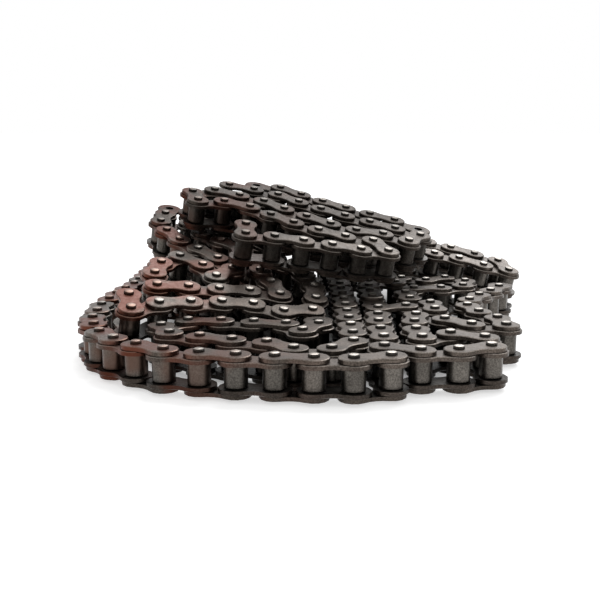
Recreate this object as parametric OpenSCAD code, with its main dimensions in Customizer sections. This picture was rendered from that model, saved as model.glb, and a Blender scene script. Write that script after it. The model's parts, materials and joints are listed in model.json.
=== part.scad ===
// A long roller chain of 12.7 mm pitch, lying on its side in a loose heap. Every pin stands up,
// so a layer of chain is one pin length high. The heap has three layers: a flat one on the floor,
// a sloping one that leans back over it, and a short one that lies on the slope.
// Units are millimetres, +Z is up, and the origin lies on the floor, under the middle of the chain's
// whole footprint.

/* [Chain] */
// Distance between two pins, centre to centre
pitch = 12.7; // [12.6:0.05:12.8]
// Free width between the inner plates
inner_width = 7.85; // [7:0.05:9]
// Thickness of every link plate
plate_t = 1.5; // [1:0.1:1.8]
// Height of an inner plate over its round ends
inner_plate_h = 11.9; // [10.6:0.1:12]
// Height of an outer plate over its round ends
outer_plate_h = 10.4; // [8:0.1:10.8]
// Height of an inner plate at its waist
inner_waist_h = 8.6; // [7.5:0.1:10]
// Height of an outer plate at its waist
outer_waist_h = 7.4; // [6.5:0.1:8]

/* [Pins, bushes and rollers] */
// Diameter of a bearing pin
pin_d = 3.97; // [3.5:0.01:4.1]
// Length of a pin that stands out of each outer plate
pin_proud = 1.2; // [0.4:0.1:1.4]
// Chamfer at each end of a pin
pin_chamfer = 0.35; // [0.1:0.05:0.5]
// Wall of a bush
bush_wall = 0.8; // [0.5:0.05:0.85]
// Outer diameter of a roller
roller_d = 7.92; // [7.6:0.02:8.2]

/* [Clearances] */
// Radial play between a pin and its bush
pin_play = 0.05; // [0.02:0.01:0.1]
// Radial play between a bush and its roller
roller_play = 0.06; // [0.02:0.01:0.1]
// Play between a roller and the inner plate at each end
roller_end_play = 0.1; // [0.05:0.05:0.3]
// Gap between an inner plate and the outer plate beside it
plate_gap = 0.15; // [0.1:0.05:0.4]
// Space left between two layers of the heap
layer_gap = 0.1; // [0:0.1:0.5]

/* [Slope of the heap] */
// Rise of the sloping layers towards the back, in degrees
slope_back = 12; // [10:0.5:13]
// Fall of the sloping layers towards the right, in degrees
slope_right = 9; // [8:0.5:10]

/* [Hidden] */
$fn = 48;
half_inner = inner_width / 2;
inner_plate_z = half_inner + plate_t;
outer_plate_z = inner_plate_z + plate_gap + plate_t;
half_pin = outer_plate_z + pin_proud;
chain_h = 2 * half_pin;
bush_bore_r = pin_d / 2 + pin_play;
bush_r = bush_bore_r + bush_wall;
roller_bore_r = bush_r + roller_play;
half_roller = half_inner - roller_end_play;

// A run of chain is [first pin, first link, headings]. The first pin is given in pitches from a
// point under the slope. The first link is INNER or OUTER, and the kinds alternate from there. Each
// entry of the headings is [number of links, degrees from +X].
INNER = "inner";
OUTER = "outer";

// Middle of the whole footprint, measured from that same point
middle = pitch * [-0.081, 4.443];

// The flat layer, on the floor
FLOOR_RUNS = [
    // left edge, front row with its jog, right end, and the right edge going back
    [[-7.13, 10.35], INNER, [[7, 270], [2, 263], [2, 268], [2, 275], [1, 285], [1, 292], [1, 305],
        [1, 318], [1, 325], [1, 343], [1, 345], [2, 352], [1, 357], [1, 15], [1, 95], [1, 335],
        [1, 3], [1, 22], [1, 88], [1, 150], [1, 210], [1, 92], [1, 85], [1, 80], [1, 322],
        [1, 312], [1, 355], [1, 92], [1, 112], [1, 100], [1, 75], [1, 60], [1, 55], [1, 60],
        [1, 75]]],
    // third row, left hairpin, second row, the fold to the right and the third column
    [[-0.39, -2.48], INNER, [[1, 270], [1, 241], [1, 119], [1, 165], [1, 170], [1, 178], [1, 226],
        [1, 292], [1, 335], [1, 337], [1, 343], [1, 317], [1, 0], [1, 52], [1, 30], [1, 90],
        [1, 88], [1, 86], [1, 85], [1, 20], [1, 330], [1, 90], [1, 125], [1, 92], [1, 65],
        [1, 5], [1, 28], [1, 75], [1, 130], [1, 215], [1, 150], [1, 250], [1, 170], [1, 265],
        [1, 268], [1, 270], [1, 272]]],
    // second column
    [[0.54, -4.69], OUTER, [[10, 90]]],
    // strands hidden under the slope
    [[-4.70, 3.05], INNER, [[5, 38], [1, 127], [5, 218], [1, 128], [4, 38], [1, 100]]],
    [[-0.52, 3.10], OUTER, [[2, 90]]],
    [[-1.80, 7.90], INNER, [[5, 0]]],
    [[-1.90, 9.00], INNER, [[7, 0]]]
];

// A length that lies flat on the last of these
STACKED_RUNS = [
    [[-1.90, 9.00], INNER, [[5, 0]]]
];

// The sloping layer, in the plane of the slope
SLOPE_RUNS = [
    [[-6.61, 6.93], INNER, [[2, 270], [1, 293], [1, 308], [1, 320], [1, 322], [1, 308], [1, 243],
        [1, 125], [1, 150], [1, 240], [1, 268], [1, 285], [1, 15], [1, 12], [1, 15], [1, 5],
        [1, 112], [1, 115], [1, 105], [1, 125], [1, 145], [1, 140], [1, 130], [1, 95], [1, 90],
        [1, 40], [3, 5], [3, 0], [3, 352], [2, 340], [1, 335], [1, 285], [1, 170],
        [1, 160], [3, 172], [5, 180], [1, 178], [1, 204], [1, 293], [1, 325], [1, 322],
        [1, 308], [1, 295], [1, 315], [1, 290], [1, 275], [1, 265], [1, 205], [1, 170],
        [1, 192], [1, 202], [1, 205], [1, 225], [1, 106]]]
];

// The top layer, in a plane one chain higher than the slope
TOP_RUNS = [
    [[-3.24, 2.24], OUTER, [[1, 275], [1, 10], [2, 2], [1, 0], [1, 15],
        [1, 120], [1, 180], [1, 165], [1, 157], [1, 150], [1, 145], [1, 170], [1, 200],
        [1, 110], [1, 40], [1, 350], [1, 345], [1, 325], [1, 330], [1, 335], [1, 342], [1, 5],
        [1, 340], [1, 60], [1, 158], [1, 163], [1, 162], [1, 158], [1, 152], [1, 148],
        [1, 168], [1, 175]]],
    // the row behind that one
    [[-3.28, 7.69], INNER, [[1, 350], [1, 330], [1, 331], [1, 338], [1, 341], [1, 343], [1, 339]]]
];

// The free end: the pin at which it leaves the flat layer, and the way it lies
free_start = pitch * FLOOR_RUNS[0][0];
free_heading = 90;

// --- Laying out a run ---

// The heading of every link of a run, one after the other
function link_headings(rows) = [for (row = rows) for (i = [1:row[0]]) row[1]];

// The kind of link i of a run that starts with the given kind
function link_kind(first, i) = i % 2 == 0 ? first : first == INNER ? OUTER : INNER;

// The pins of a run, from its first pin p on
function pins_along(p, headings, i = 0) = i == len(headings) ? [p]
    : concat([p], pins_along(p + pitch * [cos(headings[i]), sin(headings[i])], headings, i + 1));

// The pins that a run's outer links hold
function held_pins(run) = let (
    headings = link_headings(run[2]),
    pins = pins_along(pitch * run[0], headings)
) [for (i = [0:len(headings) - 1]) if (link_kind(run[1], i) == OUTER) each [pins[i], pins[i + 1]]];

// Height of a point of the sloping plane above that plane's origin
function rise(p) = p.y * sin(slope_back) * cos(slope_right) - p.x * sin(slope_right);

// Height of the sloping layer's middle, at which the rim of its lowest pin stands on the floor
slope_cos = cos(slope_back) * cos(slope_right);
slope_mid_z = half_pin * slope_cos + (pin_d / 2 - pin_chamfer) * sin(acos(slope_cos))
    - min([for (run = SLOPE_RUNS) for (p = held_pins(run)) rise(p)]);

// Children at every link of one kind, lying from [0, 0] to [pitch, 0]
module at_links(runs, kind) {
    for (run = runs) {
        headings = link_headings(run[2]);
        pins = pins_along(pitch * run[0], headings);
        for (i = [0:len(headings) - 1])
            if (link_kind(run[1], i) == kind)
                translate([pins[i].x, pins[i].y, 0]) rotate([0, 0, headings[i]]) children();
    }
}

// Children at both pins of a link
module at_both_pins() {
    for (x = [0, pitch]) translate([x, 0, 0]) children();
}

// The three places a layer can lie in
module on_floor() {
    translate([-middle.x, -middle.y, half_pin]) children();
}
module on_slope() {
    translate([-middle.x, -middle.y, slope_mid_z]) rotate([slope_back, slope_right, 0]) children();
}
module on_top() {
    on_slope() translate([0, 0, chain_h + layer_gap]) children();
}

// Children at the links of one kind that lie flat, on the floor and stacked on it
module at_flat_links(kind) {
    on_floor() {
        at_links(FLOOR_RUNS, kind) children();
        translate([0, 0, chain_h + layer_gap]) at_links(STACKED_RUNS, kind) children();
    }
}

// Children at link n of the free end, counted from 0 at the heap
module at_free_link(n) {
    on_floor() translate([free_start.x, free_start.y, 0]) rotate([0, 0, free_heading])
        translate([n * pitch, 0, 0]) children();
}

// --- The pieces of one link, which lies from [0, 0] to [pitch, 0] around z = 0 ---

// Outline of a plate: two round ends joined by a waist that runs into them in one curve
module plate_outline(h, waist_h, hole_r) {
    r = h / 2;
    w = waist_h / 2;
    waist_r = (pow(pitch / 2, 2) + w * w - r * r) / (2 * (r - w));
    part = r / (r + waist_r);
    difference() {
        union() {
            at_both_pins() circle(r);
            difference() {
                translate([part * pitch / 2, -part * (w + waist_r)])
                    square([(1 - part) * pitch, 2 * part * (w + waist_r)]);
                for (side = [-1, 1]) translate([pitch / 2, side * (w + waist_r)]) circle(waist_r);
            }
        }
        at_both_pins() circle(hole_r);
    }
}

module inner_plates() {
    for (z = [-inner_plate_z, half_inner])
        translate([0, 0, z]) linear_extrude(plate_t) plate_outline(inner_plate_h, inner_waist_h, bush_r);
}

module outer_plates() {
    for (z = [-outer_plate_z, outer_plate_z - plate_t])
        translate([0, 0, z]) linear_extrude(plate_t) plate_outline(outer_plate_h, outer_waist_h, pin_d / 2);
}

module pin() {
    rotate_extrude() polygon([
        [0, -half_pin], [pin_d / 2 - pin_chamfer, -half_pin], [pin_d / 2, pin_chamfer - half_pin],
        [pin_d / 2, half_pin - pin_chamfer], [pin_d / 2 - pin_chamfer, half_pin], [0, half_pin]
    ]);
}

// A tube from z = -half to z = half
module tube(inner_r, outer_r, half) {
    rotate_extrude() translate([inner_r, -half]) square([outer_r - inner_r, 2 * half]);
}

module bush() {
    tube(bush_bore_r, bush_r, inner_plate_z);
}

module roller() {
    tube(roller_bore_r, roller_d / 2, half_roller);
}

// --- The heap ---

module floor_inner_plates() color("#5b5652") at_flat_links(INNER) inner_plates();
module floor_outer_plates() color("#69635e") at_flat_links(OUTER) outer_plates();
module floor_pins() color("#a5a19c") at_flat_links(OUTER) at_both_pins() pin();
module floor_bushes() color("#807b75") at_flat_links(INNER) at_both_pins() bush();
module floor_rollers() color("#8f8a83") at_flat_links(INNER) at_both_pins() roller();

module slope_inner_plates() color("#5b5652") on_slope() at_links(SLOPE_RUNS, INNER) inner_plates();
module slope_outer_plates() color("#69635e") on_slope() at_links(SLOPE_RUNS, OUTER) outer_plates();
module slope_pins() color("#a5a19c") on_slope() at_links(SLOPE_RUNS, OUTER) at_both_pins() pin();
module slope_bushes() color("#807b75") on_slope() at_links(SLOPE_RUNS, INNER) at_both_pins() bush();
module slope_rollers() color("#8f8a83") on_slope() at_links(SLOPE_RUNS, INNER) at_both_pins() roller();

module top_inner_plates() color("#5b5652") on_top() at_links(TOP_RUNS, INNER) inner_plates();
module top_outer_plates() color("#69635e") on_top() at_links(TOP_RUNS, OUTER) outer_plates();
module top_pins() color("#a5a19c") on_top() at_links(TOP_RUNS, OUTER) at_both_pins() pin();
module top_bushes() color("#807b75") on_top() at_links(TOP_RUNS, INNER) at_both_pins() bush();
module top_rollers() color("#8f8a83") on_top() at_links(TOP_RUNS, INNER) at_both_pins() roller();

// --- The free end, whose links can all turn ---

module free_outer_plates(n) color("#69635e") at_free_link(n) outer_plates();
module free_outer_pins(n) color("#a5a19c") at_free_link(n) at_both_pins() pin();
module free_inner_plates(n) color("#5b5652") at_free_link(n) inner_plates();
module free_inner_bushes(n) color("#807b75") at_free_link(n) at_both_pins() bush();
module free_roller(n) color("#8f8a83") at_free_link(n) roller();

module end_outer_1_plates() free_outer_plates(0);
module end_outer_1_pins() free_outer_pins(0);
module end_inner_1_plates() free_inner_plates(1);
module end_inner_1_bushes() free_inner_bushes(1);
module end_inner_1_roller_near() free_roller(1);
module end_inner_1_roller_far() free_roller(2);
module end_outer_2_plates() free_outer_plates(2);
module end_outer_2_pins() free_outer_pins(2);
module end_inner_2_plates() free_inner_plates(3);
module end_inner_2_bushes() free_inner_bushes(3);
module end_inner_2_roller_near() free_roller(3);
module end_inner_2_roller_far() free_roller(4);
module end_outer_3_plates() free_outer_plates(4);
module end_outer_3_pins() free_outer_pins(4);
module end_inner_3_plates() free_inner_plates(5);
module end_inner_3_bushes() free_inner_bushes(5);
module end_inner_3_roller_near() free_roller(5);
module end_inner_3_roller_far() free_roller(6);

floor_inner_plates();
floor_outer_plates();
floor_pins();
floor_bushes();
floor_rollers();
slope_inner_plates();
slope_outer_plates();
slope_pins();
slope_bushes();
slope_rollers();
top_inner_plates();
top_outer_plates();
top_pins();
top_bushes();
top_rollers();
end_outer_1_plates();
end_outer_1_pins();
end_inner_1_plates();
end_inner_1_bushes();
end_inner_1_roller_near();
end_inner_1_roller_far();
end_outer_2_plates();
end_outer_2_pins();
end_inner_2_plates();
end_inner_2_bushes();
end_inner_2_roller_near();
end_inner_2_roller_far();
end_outer_3_plates();
end_outer_3_pins();
end_inner_3_plates();
end_inner_3_bushes();
end_inner_3_roller_near();
end_inner_3_roller_far();
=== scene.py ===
import json
import math

import bpy
import numpy as np
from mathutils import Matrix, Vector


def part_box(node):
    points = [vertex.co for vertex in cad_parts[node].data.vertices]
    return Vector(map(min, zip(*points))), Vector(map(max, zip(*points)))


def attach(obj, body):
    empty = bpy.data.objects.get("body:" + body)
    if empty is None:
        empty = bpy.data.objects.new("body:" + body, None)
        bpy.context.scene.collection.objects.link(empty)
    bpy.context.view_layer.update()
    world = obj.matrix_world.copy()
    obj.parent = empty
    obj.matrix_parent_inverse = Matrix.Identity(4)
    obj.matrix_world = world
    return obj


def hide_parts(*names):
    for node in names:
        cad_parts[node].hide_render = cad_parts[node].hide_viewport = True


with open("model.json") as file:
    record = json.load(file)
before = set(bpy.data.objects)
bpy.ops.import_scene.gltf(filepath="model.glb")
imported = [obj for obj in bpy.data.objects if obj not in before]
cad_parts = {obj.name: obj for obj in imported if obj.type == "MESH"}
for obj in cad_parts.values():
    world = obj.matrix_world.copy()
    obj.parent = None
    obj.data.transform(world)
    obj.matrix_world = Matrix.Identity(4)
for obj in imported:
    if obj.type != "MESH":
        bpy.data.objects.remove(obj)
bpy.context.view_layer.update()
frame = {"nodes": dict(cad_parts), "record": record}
body_of_node = {n: b for b, members in frame["record"]["behaviour"]["bodies"].items() for n in members}


# --- Pins ---
# Bearing pins of hardened, ground steel, pressed into the outer plates with both ends riveted.
# Every pin stands along its layer's normal, so the pins also give the tilt of each layer.

per_micron = 1e6


def solids_of(node):
    """Centre, and spread of the surface around it as a 3 x 3 matrix, of every solid in a CAD node.
    Corners in the same place, to the micron, are one. Triangles that share a corner belong together:
    each corner takes the lowest label next to it until no label changes. The spread is the exact
    surface integral of x times x over the triangles."""
    mesh = frame["nodes"][node].data
    mesh.calc_loop_triangles()
    co = np.empty(len(mesh.vertices) * 3)
    mesh.vertices.foreach_get("co", co)
    tri = np.empty(len(mesh.loop_triangles) * 3, np.int64)
    mesh.loop_triangles.foreach_get("vertices", tri)
    co = co.reshape(-1, 3)
    _, first, same = np.unique(np.round(co * per_micron).astype(np.int64), axis=0,
                               return_index=True, return_inverse=True)
    tri = same.reshape(-1)[tri].reshape(-1, 3)
    points = co[first]
    label = np.arange(len(points))
    while True:
        lowest = label[tri].min(axis=1)
        new = label.copy()
        np.minimum.at(new, tri.reshape(-1), np.repeat(lowest, 3))
        new = new[new]
        if (new == label).all():
            break
        label = new
    _, solid = np.unique(label[tri[:, 0]], return_inverse=True)
    corners = points[tri]
    sides = corners[:, 1:] - corners[:, :1]
    area = np.linalg.norm(np.cross(sides[:, 0], sides[:, 1]), axis=1) / 2
    middle = corners.mean(axis=1)
    count = solid.max() + 1
    total = np.bincount(solid, area, count)
    centre = np.stack([np.bincount(solid, area * middle[:, k], count) / total for k in range(3)], axis=1)
    arm = corners - centre[solid][:, None, :]
    mean = arm.mean(axis=1)
    moment = (np.einsum("tci,tcj->tij", arm, arm) + 9 * np.einsum("ti,tj->tij", mean, mean)) / 12
    spread = np.zeros((count, 3, 3))
    np.add.at(spread, solid, area[:, None, None] * moment)
    return centre, spread


def layer_of(node):
    """The layer that a node lies in. The free end lies flat, as the layer on the floor does."""
    name = node.split("_")[0]
    return name if name in ("slope", "top") else "floor"


def long_axes(spread):
    """The direction in which each solid is longest, pointing up where it stands."""
    axis = np.linalg.eigh(spread)[1][:, :, 2]
    return axis * np.where(axis[:, 2:3] < 0, -1.0, 1.0)


def turned_profile(profile, segments, finish):
    """Corners, faces and finishes of a profile of (radius, height) carried round the z axis.
    Corner i of step j is (radius_i cos a_j, radius_i sin a_j, height_i), and a row of quads joins
    each corner to the next one. The finish of each row is its material. With as many rows as
    corners the profile is closed, and otherwise flat faces close its two ends."""
    r, z = np.array(profile).T
    a = 2 * np.pi * np.arange(segments) / segments
    n = len(r)
    points = np.stack([np.outer(np.cos(a), r), np.outer(np.sin(a), r), np.broadcast_to(z, (segments, n))],
                      axis=2).reshape(-1, 3)
    i, step = np.meshgrid(np.arange(len(finish)), np.arange(segments), indexing="ij")
    after, j = (step + 1) % segments, (i + 1) % n
    faces = [tuple(q) for q in np.stack([step * n + i, after * n + i, after * n + j, step * n + j],
                                        axis=2).reshape(-1, 4).tolist()]
    finishes = np.repeat(finish, segments).tolist()
    if len(finish) < n:
        faces += [tuple(range(0, segments * n, n))[::-1], tuple(range(n - 1, segments * n, n))]
        finishes += [0, 0]
    return points, faces, finishes


sharp_from = math.radians(30)


def finished_piece(node, shape, centre, along, up, materials):
    """One object that holds a copy of the shape at each centre, with its x axis along the given
    direction and its z axis up. It stands for the CAD node and rides on that node's body."""
    points, faces, finishes = shape
    up = np.broadcast_to(up, centre.shape)
    axes = np.stack([along, np.cross(up, along), up], axis=1)
    placed = centre[:, None, :] + np.einsum("pk,ski->spi", points, axes)
    copies = [tuple(c + s * len(points) for c in f) for s in range(len(centre)) for f in faces]
    mesh = bpy.data.meshes.new(node + "_finished")
    mesh.from_pydata(placed.reshape(-1, 3).tolist(), [], copies)
    for material in materials:
        mesh.materials.append(material)
    mesh.polygons.foreach_set("material_index", finishes * len(centre))
    mesh.polygons.foreach_set("use_smooth", [True] * len(copies))
    mesh.set_sharp_from_angle(angle=sharp_from)
    piece = bpy.data.objects.new(node + "_finished", mesh)
    bpy.context.scene.collection.objects.link(piece)
    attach(piece, body_of_node[node])
    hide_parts(node)


# The patterns in the steel, in waves per metre
cloud_waves = 90.0
speck_waves = 2000.0
tint_waves = 45.0
gloss_waves = 700.0
grain_waves = 2200.0
grain_depth = 0.0001

# Where the heap is tinted, and where painted shade darkens it next to the floor and in the upper layers:
# for each change, the places at which it starts and ends
tinted_x = (0.0, -0.07)
left_edge_x = (-0.07, -0.092)
floor_shade_z = (0.006, 0.004)
upper_shade_z = (0.030, 0.044)

# The front row lies along a parabola in plan, and painted shade gathers low down behind it
bow_x = 0.1
front_y_in_middle = -0.151
front_y_at_bow = -0.109
behind_row = (0.007, 0.012)
low_z = (0.0135, 0.0115)
inside_left_x = (-0.083, -0.078)
inside_right_x = (0.055, 0.045)


def steel(name, colour, tint, roughness, grain, upper_shade_share, clouds=(0.72, 1.3)):
    """Steel with broad clouds between the two given brightnesses, fine specks, a grain in height
    and gloss, and brown patches of heat tint towards the heap's left side. Painted shade darkens
    it: in the upper layers it keeps the given share of its brightness, and less of what it mirrors
    at a flat angle, and it is darker next to the floor and, far more, low down behind the front row."""
    material = bpy.data.materials.new(name)
    material.use_nodes = True
    tree = material.node_tree
    shader = tree.nodes["Principled BSDF"]
    place = tree.nodes.new("ShaderNodeTexCoord").outputs["Object"]
    split = tree.nodes.new("ShaderNodeSeparateXYZ")
    tree.links.new(place, split.inputs[0])
    x, y, z = split.outputs

    def noise(scale, detail):
        node = tree.nodes.new("ShaderNodeTexNoise")
        node.inputs["Scale"].default_value = scale
        node.inputs["Detail"].default_value = detail
        tree.links.new(place, node.inputs["Vector"])
        return node.outputs["Fac"]

    def ranged(value, from_span, to_span):
        node = tree.nodes.new("ShaderNodeMapRange")
        for socket, number in zip(("From Min", "From Max", "To Min", "To Max"), (*from_span, *to_span)):
            node.inputs[socket].default_value = number
        tree.links.new(value, node.inputs["Value"])
        return node.outputs["Result"]

    def worked(operation, a, b):
        node = tree.nodes.new("ShaderNodeMath")
        node.operation = operation
        tree.links.new(a, node.inputs[0])
        tree.links.new(b, node.inputs[1])
        return node.outputs[0]

    def mixed(factor, a, b, blend="MIX"):
        node = tree.nodes.new("ShaderNodeMix")
        node.data_type = "RGBA"
        node.blend_type = blend
        for socket, value in (("Factor", factor), ("A", a), ("B", b)):
            target = [s for s in node.inputs if s.name == socket and s.enabled][0]
            if isinstance(value, (tuple, float)):
                target.default_value = value
            else:
                tree.links.new(value, target)
        return [s for s in node.outputs if s.enabled][0]

    shades = ranged(noise(cloud_waves, 3.0), (0.3, 0.7), clouds)
    specks = ranged(noise(speck_waves, 3.0), (0.32, 0.68), (0.58, 1.46))
    base = mixed(1.0, colour, shades, "MULTIPLY")
    base = mixed(1.0, base, specks, "MULTIPLY")
    leftness = ranged(x, tinted_x, (0.0, 1.0))
    more_at_edge = ranged(x, left_edge_x, (0.0, 0.07))
    patches = ranged(worked("ADD", noise(tint_waves, 2.0), more_at_edge), (0.46, 0.58), (0.0, 0.95))
    base = mixed(worked("MULTIPLY", leftness, patches), base, tint)

    # Painted shade: this mask is 1 low down behind the front row, between the heap's sides.
    front_row = ranged(worked("MULTIPLY", x, x), (0.0, bow_x ** 2), (front_y_in_middle, front_y_at_bow))
    shaded_inside = ranged(worked("SUBTRACT", y, front_row), behind_row, (0.0, 1.0))
    for axis, span in ((z, low_z), (x, inside_left_x), (x, inside_right_x)):
        shaded_inside = worked("MULTIPLY", shaded_inside, ranged(axis, span, (0.0, 1.0)))
    # Painted shade: darker in the upper layers, next to the floor and, far more, behind the front row.
    painted_shade = worked("MULTIPLY", ranged(z, upper_shade_z, (1.0, upper_shade_share)), ranged(z, floor_shade_z, (1.0, 0.7)))
    painted_shade = worked("MULTIPLY", painted_shade, ranged(shaded_inside, (0.0, 1.0), (1.0, 0.2)))
    tree.links.new(mixed(1.0, base, painted_shade, "MULTIPLY"), shader.inputs["Base Color"])
    # Painted shade: the upper layers mirror less at a flat angle.
    tree.links.new(ranged(z, upper_shade_z, (1.0, 0.7)), shader.inputs["Specular Tint"])
    shader.inputs["Metallic"].default_value = 1.0
    gloss = ranged(noise(gloss_waves, 4.0), (0.3, 0.7), (roughness - 0.08, roughness + 0.1))
    tree.links.new(gloss, shader.inputs["Roughness"])
    bump = tree.nodes.new("ShaderNodeBump")
    bump.inputs["Strength"].default_value = grain
    bump.inputs["Distance"].default_value = grain_depth
    tree.links.new(noise(grain_waves, 3.0), bump.inputs["Height"])
    tree.links.new(bump.outputs["Normal"], shader.inputs["Normal"])
    return material


head_steel = steel("pin_head_steel", colour=(0.34, 0.312, 0.282, 1.0), tint=(0.22, 0.14, 0.11, 1.0),
                   roughness=0.34, grain=0.08, upper_shade_share=0.45, clouds=(0.45, 1.3))
# A near-black steel for the pins' sides and head rims, the bushes, and the plates' inner faces and holes:
# oil, and painted shade between the parts.
oil_and_shade_steel = steel("oil_and_shade_steel", colour=(0.040, 0.036, 0.032, 1.0), tint=(0.045, 0.023, 0.017, 1.0),
                    roughness=0.40, grain=0.05, upper_shade_share=0.6)
pin_nodes = [n for n in sorted(body_of_node) if n.endswith("_pins")]
pin_places = {n: solids_of(n) for n in pin_nodes}
layer_up = {}
for node in pin_nodes:
    axis = long_axes(pin_places[node][1]).mean(axis=0)
    layer_up[layer_of(node)] = axis / np.linalg.norm(axis)
pin_low, pin_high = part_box("end_outer_1_pins")
half_pin = (pin_high.z - pin_low.z) / 2
pin_r = (pin_high.x - pin_low.x) / 2
pitch = (pin_high.y - pin_low.y) - 2 * pin_r
pin_sides = 14

# A riveted head in profile, from its rim inwards: radius, and depth under the end of the pin
dome_rise = 0.0006
dome = [(pin_r, dome_rise), (pin_r - dome_rise / 2, dome_rise / 3), (pin_r / 2, 0.0)]
# The rim of each head and the pin's side take the near-black steel: a painted shadow ring round each head.
pin_shape = turned_profile([(r, sunk - half_pin) for r, sunk in dome[::-1]]
                           + [(r, half_pin - sunk) for r, sunk in dome], pin_sides, [0, 1, 1, 1, 0])


def any_side(up, count):
    """A direction square to up, for each of count round solids, whose turn doesn't matter."""
    side = np.cross([0.0, 1.0, 0.0], up)
    return np.broadcast_to(side / np.linalg.norm(side), (count, 3))


for node in pin_nodes:
    centre = pin_places[node][0]
    up = layer_up[layer_of(node)]
    finished_piece(node, pin_shape, centre, any_side(up, len(centre)), up, [head_steel, oil_and_shade_steel])


# --- Bushes ---
# Thin tubes of case-hardened steel, pressed into the inner plates, in which the pins turn.
# They show only where a run of chain ends and between a roller and its plate.

bush_low, bush_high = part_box("end_inner_3_bushes")
half_bush = (bush_high.z - bush_low.z) / 2
bush_r = (bush_high.x - bush_low.x) / 2
bush_wall = 0.0008
bush_bore_r = bush_r - bush_wall
bush_sides = 16
bush_shape = turned_profile([
    (bush_bore_r, -half_bush), (bush_r, -half_bush), (bush_r, half_bush), (bush_bore_r, half_bush)
], bush_sides, [0, 0, 0, 0])
for node in [n for n in sorted(body_of_node) if n.endswith("_bushes")]:
    centre = solids_of(node)[0]
    up = layer_up[layer_of(node)]
    # The bushes take the near-black steel: painted shade between the roller and its plates.
    finished_piece(node, bush_shape, centre, any_side(up, len(centre)), up, [oil_and_shade_steel])


# --- Rollers ---
# Short tubes of seamless or curled steel, greyer and duller than the plates, that turn on the
# bushes. Their ends are broken by a small edge.

roller_steel = steel("roller_steel", colour=(0.088, 0.080, 0.071, 1.0), tint=(0.085, 0.052, 0.040, 1.0),
                     roughness=0.36, grain=0.14, upper_shade_share=0.5)
roller_low, roller_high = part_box("end_inner_3_roller_far")
half_roller = (roller_high.z - roller_low.z) / 2
roller_r = (roller_high.x - roller_low.x) / 2
roller_play = 0.00006
roller_bore_r = bush_r + roller_play
roller_edge = 0.0003
roller_sides = 18
roller_shape = turned_profile([
    (roller_bore_r, -half_roller), (roller_r - roller_edge, -half_roller),
    (roller_r, roller_edge - half_roller), (roller_r, half_roller - roller_edge),
    (roller_r - roller_edge, half_roller), (roller_bore_r, half_roller)
], roller_sides, [0, 0, 0, 0, 0, 0])
for node in [n for n in sorted(body_of_node) if "roller" in n]:
    centre = solids_of(node)[0]
    up = layer_up[layer_of(node)]
    finished_piece(node, roller_shape, centre, any_side(up, len(centre)), up, [roller_steel])


# --- Inner plates ---
# Waisted plates of blanked and tumbled steel, the taller of the two kinds, pressed on the bushes.
# Tumbling rounds the edges of the blank. The shape here has the one round the outer face, which
# catches the light.

def waisted_outline(height, waist, inset, end_steps, waist_steps):
    """Points of one half of the outline, from the middle of the lower waist round the right end
    to the middle of the upper waist. The end is an arc around (pitch/2, 0), and each waist is an
    arc around (0, +-(w + R)) that touches it, with R from (pitch/2)^2 + (w + R)^2 = (r + R)^2.
    An inset shortens the end's radius and lengthens the waist's by the same amount."""
    r, w = height / 2, waist / 2
    waist_r = ((pitch / 2) ** 2 + w * w - r * r) / (2 * (r - w))
    touch = math.atan2(w + waist_r, -pitch / 2)
    lower = np.linspace(math.pi / 2, math.pi - touch, waist_steps + 1)[:-1]
    end = np.linspace(-touch, touch, end_steps + 1)
    upper = np.linspace(touch - math.pi, -math.pi / 2, waist_steps + 1)[1:]
    hollow = waist_r + inset
    return np.concatenate([
        np.stack([hollow * np.cos(lower), hollow * np.sin(lower) - w - waist_r], axis=1),
        np.stack([pitch / 2 + (r - inset) * np.cos(end), (r - inset) * np.sin(end)], axis=1),
        np.stack([hollow * np.cos(upper), hollow * np.sin(upper) + w + waist_r], axis=1)])


def whole_outline(half):
    """The right half of an outline followed by the same half turned by 180 degrees."""
    return np.concatenate([half[:-1], -half[:-1]])


rounding_drop = 0.8


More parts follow.
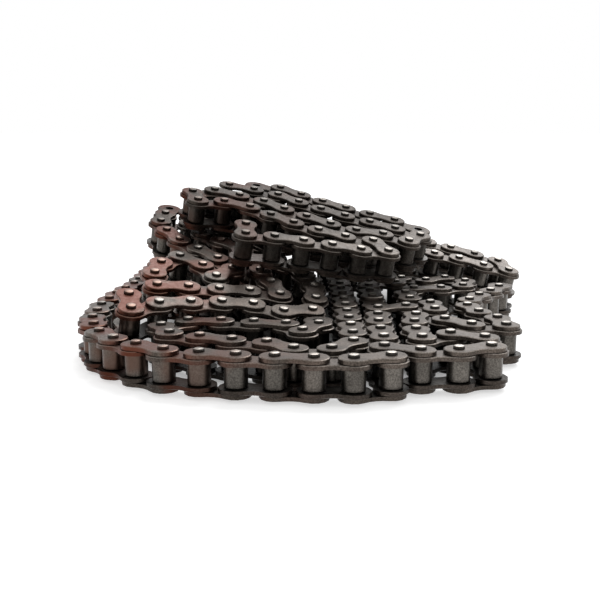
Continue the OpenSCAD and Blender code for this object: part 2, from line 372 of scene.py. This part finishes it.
def plate_shape(height, waist, thick, rounding, hole_r, end_steps=9, waist_steps=2):
    """A plate around the origin, with its length along x and the outer side of its link at +z.
    Three outlines make its rim: full at the inner face, full below the rounding, and inset at the
    outer face. The rounding goes rounding_drop times as far down as in. With a hole radius, each
    face is a ring of quads around each hole, else it is one face. The rounding takes finish 1, the
    inner face and the holes take 2, and the rest takes 0."""
    full = whole_outline(waisted_outline(height, waist, 0.0, end_steps, waist_steps))
    half = waisted_outline(height, waist, rounding, end_steps, waist_steps)
    small = whole_outline(half)
    n = len(full)
    z = (-thick / 2, thick / 2 - rounding * rounding_drop, thick / 2)
    points = np.concatenate([np.column_stack([o, np.full(n, h)]) for o, h in zip((full, full, small), z)])
    i, row = np.meshgrid(np.arange(n), np.arange(2))
    j = (i + 1) % n
    faces = [tuple(q) for q in np.stack([row * n + i, row * n + j, (row + 1) * n + j, (row + 1) * n + i],
                                        axis=2).reshape(-1, 4).tolist()]
    finishes = [0] * n + [1] * n
    if not hole_r:
        return points, faces + [tuple(range(n))[::-1], tuple(range(2 * n, 3 * n))], finishes + [2, 0]
    count = len(half) + 1
    k = np.arange(count)
    for level in (0, 2):
        middle = len(points)
        points = np.concatenate([points, [[0.0, 0.0, z[level]]]])
        for turn in (1, -1):
            rim = np.append(level * n + (np.arange(len(half)) + (0 if turn == 1 else n // 2)) % n, middle)
            around = points[rim, :2] * turn - [pitch / 2, 0.0]
            angle = np.arctan2(around[:, 1], around[:, 0])
            hole = len(points) + k
            circle = turn * (np.column_stack([np.cos(angle), np.sin(angle)]) * hole_r + [pitch / 2, 0.0])
            points = np.concatenate([points, np.column_stack([circle, np.full(count, z[level])])])
            ring = np.stack([rim, np.roll(rim, -1), np.roll(hole, -1), hole], axis=1)
            faces += [tuple(q) for q in (ring if level else ring[:, ::-1]).tolist()]
            finishes += [2 - level] * count
    above = len(points) - 2 * count
    below = above - 2 * count - 1
    for hole in (0, count):
        wall = np.stack([above + hole + k, above + hole + np.roll(k, -1),
                         below + hole + np.roll(k, -1), below + hole + k], axis=1)
        faces += [tuple(q) for q in wall.tolist()]
        finishes += [2] * count
    return points, faces, finishes


def outward(centre, up):
    """For each plate, the way out of its link: up for an upper plate, down for a lower one.
    From the lowest on, the heights at which plates lie are in turn lower and upper ones."""
    height = centre @ up
    levels = np.sort(height)
    next_levels = levels[1:][np.diff(levels) > plate_thick / 2]
    rank = np.searchsorted(next_levels, height, side="right")
    return np.where(rank % 2 == 1, 1.0, -1.0)[:, None] * up


def link_directions(spread, up):
    """The direction of each plate's length: the longest axis of its spread, laid square to up."""
    along = long_axes(spread)
    along = along - (along @ up)[:, None] * up
    return along / np.linalg.norm(along, axis=1)[:, None]


inner_steel = steel("inner_plate_steel", colour=(0.067, 0.055, 0.047, 1.0), tint=(0.078, 0.023, 0.013, 1.0),
                    roughness=0.42, grain=0.12, upper_shade_share=0.55)
# A brighter steel for the rounded edges: wear, and a painted highlight along each rim.
wear_and_highlight_steel = steel("worn_and_highlight_edge_steel", colour=(0.15, 0.131, 0.115, 1.0), tint=(0.135, 0.065, 0.045, 1.0),
                   roughness=0.34, grain=0.10, upper_shade_share=0.55)
inner_low, inner_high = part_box("end_inner_1_plates")
inner_waist = 0.0086
plate_thick = 0.0015
plate_rounding = 0.0003
inner_shape = plate_shape(inner_high.x - inner_low.x, inner_waist, plate_thick, plate_rounding, bush_r)
for node in [n for n in sorted(body_of_node) if "inner" in n and n.endswith("_plates")]:
    centre, spread = solids_of(node)
    up = layer_up[layer_of(node)]
    # The inner face and holes take the near-black steel, painted shade between the plates, and the rounding
    # the bright edge steel, wear with a painted highlight.
    finished_piece(node, inner_shape, centre, link_directions(spread, up), outward(centre, up),
                   [inner_steel, wear_and_highlight_steel, oil_and_shade_steel])


# --- Outer plates ---
# The lower, slimmer plates, riveted on the pins outside the inner plates. They are blanked and
# tumbled like the inner ones, and lie on top wherever the chain is seen from above.

outer_steel = steel("outer_plate_steel", colour=(0.078, 0.064, 0.054, 1.0), tint=(0.096, 0.029, 0.017, 1.0),
                    roughness=0.40, grain=0.12, upper_shade_share=0.55)
outer_low, outer_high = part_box("end_outer_1_plates")
outer_waist = 0.0074
outer_shape = plate_shape(outer_high.x - outer_low.x, outer_waist, plate_thick, plate_rounding, 0.0)
for node in [n for n in sorted(body_of_node) if "outer" in n and n.endswith("_plates")]:
    centre, spread = solids_of(node)
    up = layer_up[layer_of(node)]
    # The inner face takes the near-black steel, painted shade between the plates, and the rounding the
    # bright edge steel, wear with a painted highlight.
    finished_piece(node, outer_shape, centre, link_directions(spread, up), outward(centre, up),
                   [outer_steel, wear_and_highlight_steel, oil_and_shade_steel])


# --- Floor ---
# A white table that keeps the heap's shadow and runs into the white backdrop. Under the heap it lacks its
# glow, which paints a shade there.

def straight_rays(tree):
    """1 for rays from the camera, from a mirror-like surface or through glass, and 0 for the rest."""
    rays = tree.nodes.new("ShaderNodeLightPath").outputs
    total = rays["Is Camera Ray"]
    for name in ("Is Glossy Ray", "Is Transmission Ray"):
        node = tree.nodes.new("ShaderNodeMath")
        node.operation = "MAXIMUM"
        tree.links.new(total, node.inputs[0])
        tree.links.new(rays[name], node.inputs[1])
        total = node.outputs[0]
    return total


table_r = 60.0
table_sides = 64
table_grey = (0.82, 0.82, 0.82, 1.0)
pure_white = (1.0, 1.0, 1.0, 1.0)
around = np.linspace(0.0, 2 * np.pi, table_sides, endpoint=False)
rim = np.stack([table_r * np.cos(around), table_r * np.sin(around), 0 * around], axis=1)
table_mesh = bpy.data.meshes.new("table")
table_mesh.from_pydata(rim.tolist(), [], [tuple(range(table_sides))])
table = bpy.data.objects.new("table", table_mesh)
bpy.context.scene.collection.objects.link(table)

# The table is matt under the heap and has no glow there, which paints a shade under the heap. From 0.6 of
# the way to the rim of the ellipse that fits in the heap's box, a glow comes up that whitens the table
# around the heap and leaves the shadow on it.
glow_span = (0.6, 1.0)
glow_strengths = (0.0, 0.6)
white = bpy.data.materials.new("white_table")
white.use_nodes = True
tree = white.node_tree
tree.nodes.remove(tree.nodes["Principled BSDF"])
matt = tree.nodes.new("ShaderNodeBsdfDiffuse")
matt.inputs["Color"].default_value = table_grey
glow = tree.nodes.new("ShaderNodeEmission")
glow.inputs["Color"].default_value = pure_white
heap_low, heap_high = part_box("floor_outer_plates")
heap_middle = (heap_low + heap_high) / 2
heap_reach = (heap_high - heap_low) / 2
ellipse = tree.nodes.new("ShaderNodeMapping")
ellipse.vector_type = "TEXTURE"
ellipse.inputs["Location"].default_value = (heap_middle.x, heap_middle.y, 0.0)
ellipse.inputs["Scale"].default_value = (heap_reach.x, heap_reach.y, 1.0)
tree.links.new(tree.nodes.new("ShaderNodeTexCoord").outputs["Object"], ellipse.inputs["Vector"])
away = tree.nodes.new("ShaderNodeVectorMath")
away.operation = "LENGTH"
tree.links.new(ellipse.outputs["Vector"], away.inputs[0])
# Painted shade: no glow within 0.6 of the way to the ellipse's rim.
fade = tree.nodes.new("ShaderNodeMapRange")
fade.interpolation_type = "SMOOTHSTEP"
for socket, number in zip(("From Min", "From Max", "To Min", "To Max"), (*glow_span, *glow_strengths)):
    fade.inputs[socket].default_value = number
tree.links.new(away.outputs["Value"], fade.inputs["Value"])
tree.links.new(fade.outputs["Result"], glow.inputs["Strength"])
added = tree.nodes.new("ShaderNodeAddShader")
tree.links.new(matt.outputs[0], added.inputs[0])
tree.links.new(glow.outputs[0], added.inputs[1])
choice = tree.nodes.new("ShaderNodeMixShader")
tree.links.new(straight_rays(tree), choice.inputs[0])
tree.links.new(matt.outputs[0], choice.inputs[1])
tree.links.new(added.outputs[0], choice.inputs[2])
tree.links.new(choice.outputs[0], tree.nodes["Material Output"].inputs["Surface"])
table_mesh.materials.append(white)


# --- Light ---
# Soft studio light: a white surround lights the heap from all around, and one broad lamp shines
# down on it from the back, a little from the right.

surround_strength = 0.55
backdrop_strength = 1.0
world = bpy.data.worlds.new("studio")
bpy.context.scene.world = world
world.use_nodes = True
tree = world.node_tree
surround = tree.nodes["Background"]
backdrop = tree.nodes.new("ShaderNodeBackground")
for node, strength in ((surround, surround_strength), (backdrop, backdrop_strength)):
    node.inputs["Color"].default_value = pure_white
    node.inputs["Strength"].default_value = strength
choice = tree.nodes.new("ShaderNodeMixShader")
tree.links.new(straight_rays(tree), choice.inputs[0])
tree.links.new(surround.outputs[0], choice.inputs[1])
tree.links.new(backdrop.outputs[0], choice.inputs[2])
tree.links.new(choice.outputs[0], tree.nodes["World Output"].inputs["Surface"])

lamp_data = bpy.data.lights.new("sun", "SUN")
lamp_data.energy = 1.9
lamp_data.angle = math.radians(50)
lamp = bpy.data.objects.new("sun", lamp_data)
bpy.context.scene.collection.objects.link(lamp)
lamp.rotation_euler = (math.radians(-38), math.radians(18), 0.0)


# --- Camera ---
# Low in front of the heap and a little left of its middle, 85 mm above the table. It looks
# straight back and eleven degrees down.

looks_down = math.radians(10.99)
camera_data = bpy.data.cameras.new("camera")
camera_data.lens = 51.6
camera_data.sensor_width = 36.0
camera = bpy.data.objects.new("camera", camera_data)
bpy.context.scene.collection.objects.link(camera)
camera.location = (-0.011, -0.4154, 0.0851)
camera.rotation_euler = (math.pi / 2 - looks_down, 0.0, 0.0)
bpy.context.scene.camera = camera
bpy.context.scene.view_settings.view_transform = "Standard"
